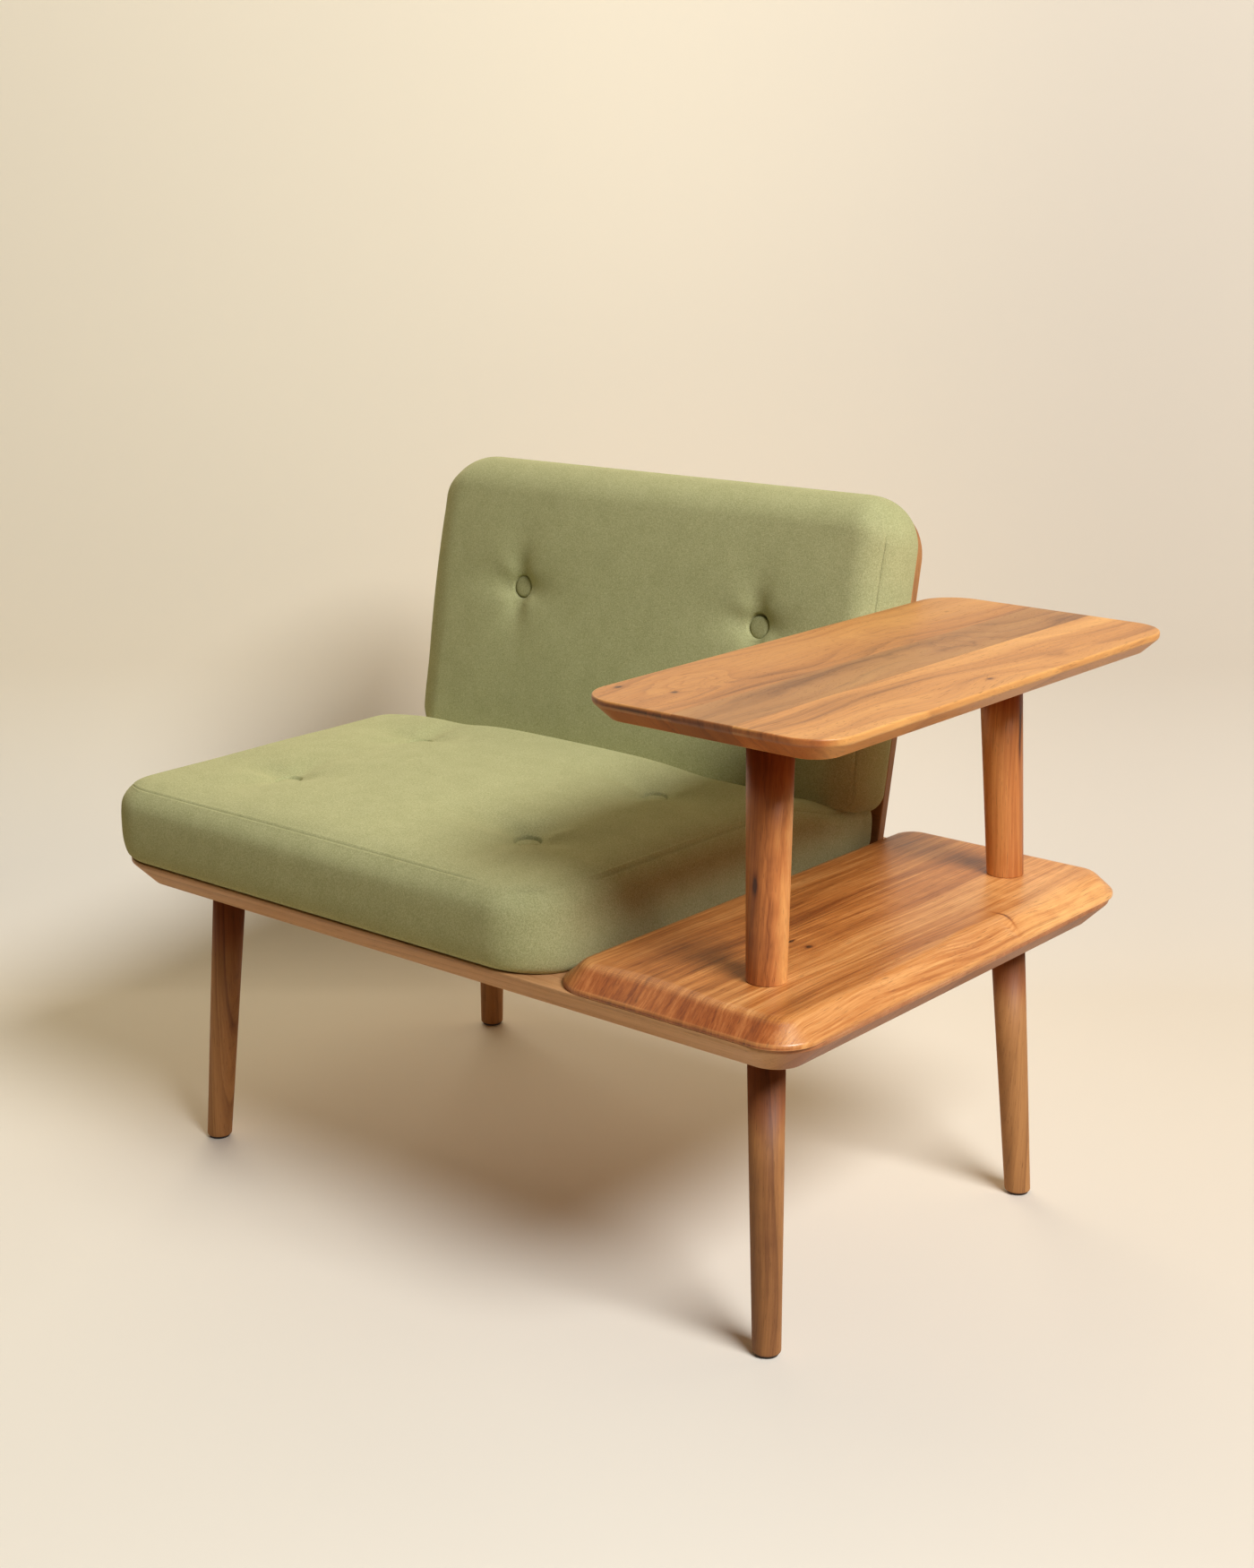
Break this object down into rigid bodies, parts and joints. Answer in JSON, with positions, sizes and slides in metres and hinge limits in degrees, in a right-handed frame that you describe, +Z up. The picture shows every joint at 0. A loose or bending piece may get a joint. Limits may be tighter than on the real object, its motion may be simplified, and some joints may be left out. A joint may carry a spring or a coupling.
{
  "type": "telephone bench",
  "caption": "Padded bench seat with a reclined padded back on splayed turned legs, with a low table and a raised table beside the seat on the same base board.",
  "frame": {"origin": "on the floor, under the centre of the bounding box", "axes": "+X to the right along the bench, from the seat to the tables; +Y from the front to the back; +Z up"},
  "size_m": [0.9442, 0.6282, 0.7057],
  "materials": {
    "walnut": "oiled walnut, satin",
    "acacia": "lacquered acacia planks, satin",
    "felt": "woven felted wool cover over foam",
    "plywood": "raw birch plywood",
    "steel": "zinc-plated",
    "black_steel": "matt black powder coat",
    "glide": "dark moulded glide"
  },
  "bodies": {
    "root": {"glide_front_left": "glide", "glide_rear_left": "glide", "glide_front_right": "glide", "glide_rear_right": "glide", "hanger_bolt_front_left": "steel", "insert_front_left": "steel", "leg_front_left": "walnut", "hanger_bolt_rear_left": "steel", "insert_rear_left": "steel", "leg_rear_left": "walnut", "stud_front_right": "steel", "leg_front_right": "walnut", "post_bolt_front_right": "steel", "post_insert_front_right": "steel", "post_front_right": "acacia", "stud_rear_right": "steel", "leg_rear_right": "walnut", "post_bolt_rear_right": "steel", "post_insert_rear_right": "steel", "post_rear_right": "acacia", "seat_screw_1": "steel", "seat_screw_2": "steel", "seat_screw_3": "steel", "seat_screw_4": "steel", "low_table_screw_1": "steel", "low_table_screw_2": "steel", "low_table_screw_3": "steel", "low_table_screw_4": "steel", "seat_button_1": "felt", "seat_button_2": "felt", "seat_button_3": "felt", "seat_button_4": "felt", "seat_cushion": "felt", "seat_panel": "plywood", "back_button_1": "felt", "back_button_2": "felt", "back_cushion": "felt", "back_panel": "plywood", "back_screw_1": "steel", "back_screw_2": "steel", "back_screw_3": "steel", "back_screw_4": "steel", "bracket_left_rise_screw_1": "steel", "bracket_left_rise_screw_2": "steel", "bracket_right_rise_screw_1": "steel", "bracket_right_rise_screw_2": "steel", "back_board": "walnut", "bracket_left_foot_screw_1": "steel", "bracket_left_foot_screw_2": "steel", "bracket_left": "black_steel", "bracket_right_foot_screw_1": "steel", "bracket_right_foot_screw_2": "steel", "bracket_right": "black_steel", "base_board": "walnut", "low_table": "acacia", "high_table": "acacia"}
  },
  "joints": []
}
